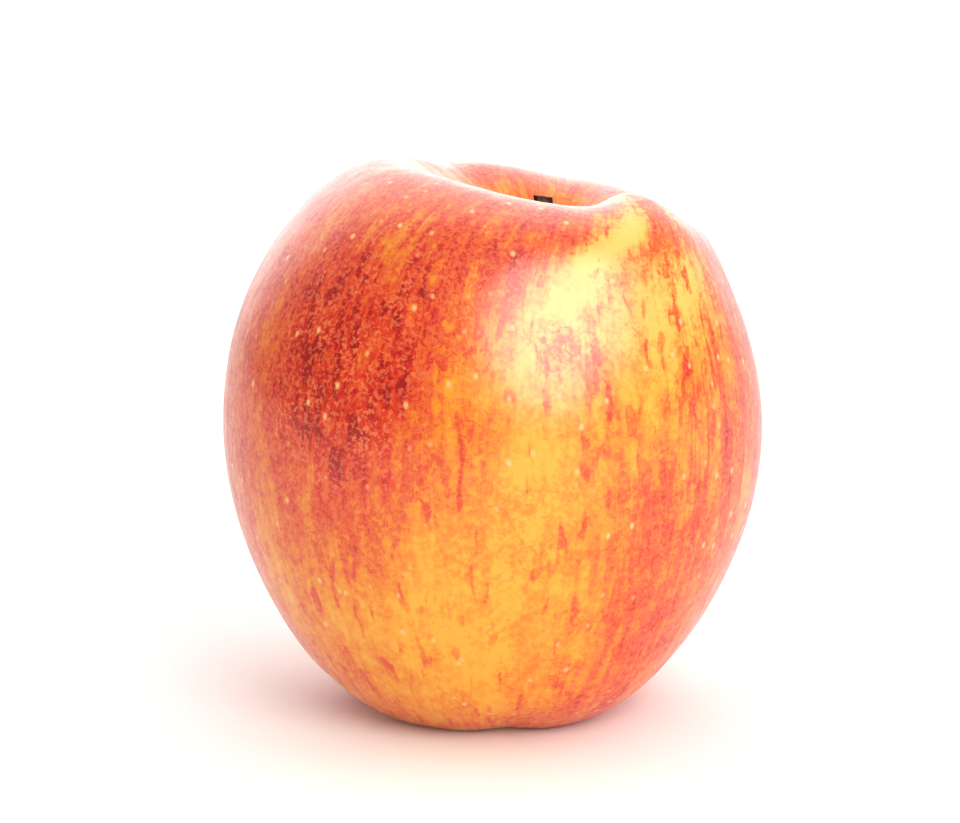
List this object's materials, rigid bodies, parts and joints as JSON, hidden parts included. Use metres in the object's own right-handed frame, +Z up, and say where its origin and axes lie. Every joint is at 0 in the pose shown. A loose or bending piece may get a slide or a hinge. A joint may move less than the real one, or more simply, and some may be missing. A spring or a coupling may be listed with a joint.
{
  "type": "apple",
  "caption": "Whole ripe apple with red streaks over gold skin, a short dried stem in a deep hollow, and a dried calyx underneath; it rests on the knobs round its eye.",
  "frame": {"origin": "the middle of the whole outline seen from above, on the surface that the apple rests on", "axes": "+Z up from the eye end to the stem end, +X to the side that the stem hollow sits towards, -Y to the front, where the gold patch of the skin faces"},
  "size_m": [0.0756, 0.0756, 0.0775],
  "materials": {
    "skin": "waxy, red streaks over gold",
    "dried_stem": "dry bark",
    "dried_sepal": "dry, woolly",
    "dried_stamens": "dry"
  },
  "bodies": {
    "root": {"fruit": "skin", "stem": "dried_stem", "sepal_1": "dried_sepal", "sepal_2": "dried_sepal", "sepal_3": "dried_sepal", "sepal_4": "dried_sepal", "sepal_5": "dried_sepal", "stamen_tuft": "dried_stamens"}
  },
  "joints": []
}
